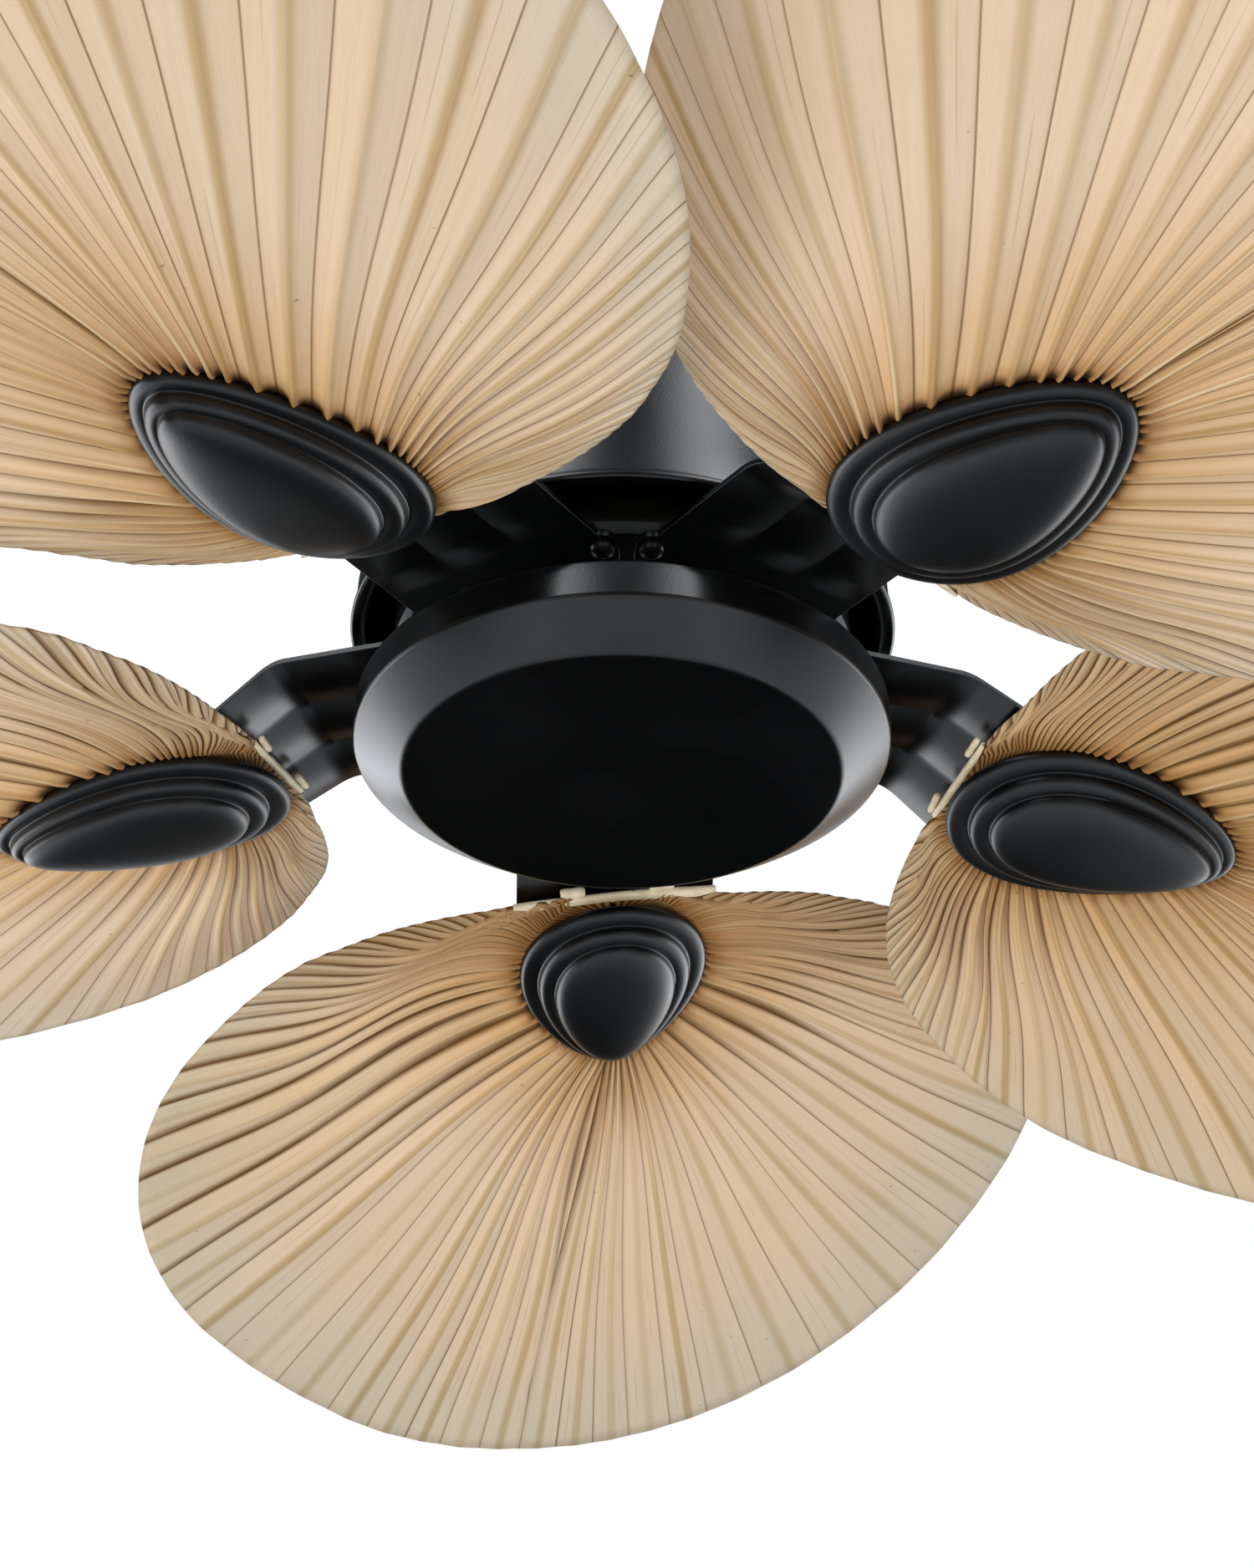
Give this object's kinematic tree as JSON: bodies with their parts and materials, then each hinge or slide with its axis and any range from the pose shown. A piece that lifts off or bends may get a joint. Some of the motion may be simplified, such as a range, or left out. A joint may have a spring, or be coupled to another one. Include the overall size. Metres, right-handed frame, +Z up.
{
  "type": "ceiling fan",
  "caption": "Ceiling fan with pleated palm-leaf blades on black brackets round a bell-shaped motor housing, hung on a short downrod from a round canopy.",
  "frame": {"origin": "on the ceiling, midway between the two ceiling slots of the hanger bracket and on the fan's axis", "axes": "+Z up into the ceiling, along the fan's axis; +X along the line of the two ceiling slots and along the tilt axis of the ball joint; +Y towards the middle of blade 1, the far blade of the picture"},
  "size_m": [1.4744, 1.4283, 0.3814],
  "materials": {
    "black_paint": "satin",
    "black_casting": "satin",
    "steel": "satin",
    "dark_steel": "satin",
    "bearing_steel": "polished",
    "core_steel": "matte",
    "copper": "gloss",
    "cast_aluminium": "satin",
    "dark_aluminium": "satin",
    "black_plastic": "matte",
    "white_plastic": "matte",
    "dried_leaf": "matte",
    "cane": "matte"
  },
  "bodies": {
    "ceiling": {"hanger_bracket": "steel", "canopy": "black_paint", "canopy_screws": "dark_steel", "remote_receiver": "white_plastic", "receiver_screws": "steel"},
    "hanging": {"hanger_ball": "black_plastic", "ball_cross_pin": "steel", "downrod": "black_paint", "coupling_cover": "black_paint", "motor_yoke": "steel", "yoke_clevis_pin": "steel", "cotter_pin": "steel", "yoke_set_screws": "dark_steel", "upper_housing": "black_paint", "housing_screws": "steel", "motor_shaft": "steel", "stator_core": "core_steel", "stator_windings": "copper", "upper_bearing_inner": "bearing_steel", "lower_bearing_inner": "bearing_steel", "pan_mount_plate": "steel", "shaft_nuts": "steel", "lower_pan": "black_paint", "run_capacitor": "black_plastic", "capacitor_screws": "steel"},
    "rotor": {"upper_bearing_outer": "bearing_steel", "lower_bearing_outer": "bearing_steel", "bearing_balls": "bearing_steel", "rotor_ring": "core_steel", "upper_motor_cover": "cast_aluminium", "lower_motor_cover": "dark_aluminium", "motor_cover_screws": "steel", "blade_bracket_1": "black_paint", "blade_bracket_2": "black_paint", "blade_bracket_3": "black_paint", "blade_bracket_4": "black_paint", "blade_bracket_5": "black_paint", "bracket_screws": "dark_steel", "palm_leaf_1": "dried_leaf", "palm_leaf_2": "dried_leaf", "palm_leaf_3": "dried_leaf", "palm_leaf_4": "dried_leaf", "palm_leaf_5": "dried_leaf", "root_binding_1": "cane", "root_binding_2": "cane", "root_binding_3": "cane", "root_binding_4": "cane", "root_binding_5": "cane", "medallion_1": "black_casting", "medallion_2": "black_casting", "medallion_3": "black_casting", "medallion_4": "black_casting", "medallion_5": "black_casting", "medallion_screws": "dark_steel"}
  },
  "joints": [
    {"name": "hanger_swing", "type": "hinge", "parent": "ceiling", "child": "hanging", "pos_m": [0, 0, -0.034], "axis": [1, 0, 0], "range_deg": [-15, 15]},
    {"name": "rotor_spin", "type": "hinge", "parent": "hanging", "child": "rotor", "pos_m": [0, 0, -0.25], "axis": [0, 0, 1], "continuous": true}
  ]
}
